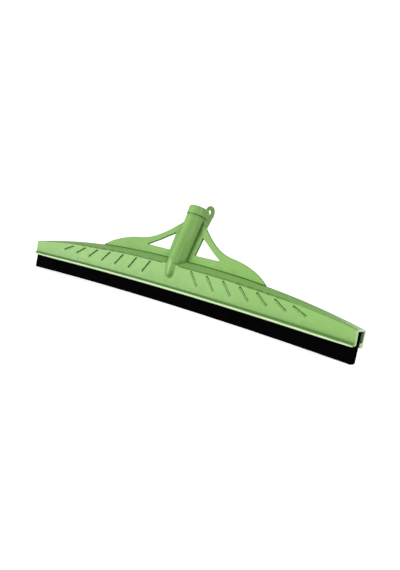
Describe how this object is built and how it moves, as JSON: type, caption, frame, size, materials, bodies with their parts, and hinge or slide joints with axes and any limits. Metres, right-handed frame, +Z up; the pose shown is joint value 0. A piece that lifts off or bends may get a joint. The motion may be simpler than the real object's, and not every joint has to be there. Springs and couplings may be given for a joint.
{
  "type": "window cleaning squeegee",
  "caption": "Wide squeegee head: a bowed plastic channel with winged, leaning handle socket and hang eye, holding a double foam blade.",
  "frame": {"origin": "centre of the handle socket's mouth", "axes": "+X along the bar to its right end seen from the front, +Y to the back, where the socket leans and the hang eye is, +Z up, with the blade pointing down"},
  "size_m": [0.55, 0.0732, 0.1432],
  "materials": {
    "head_plastic": "satin moulded plastic",
    "front_foam": "matt closed-cell foam",
    "rear_foam": "matt closed-cell foam"
  },
  "bodies": {
    "root": {"head": "head_plastic", "front_foam_strip": "front_foam", "rear_foam_strip": "rear_foam"}
  },
  "joints": []
}
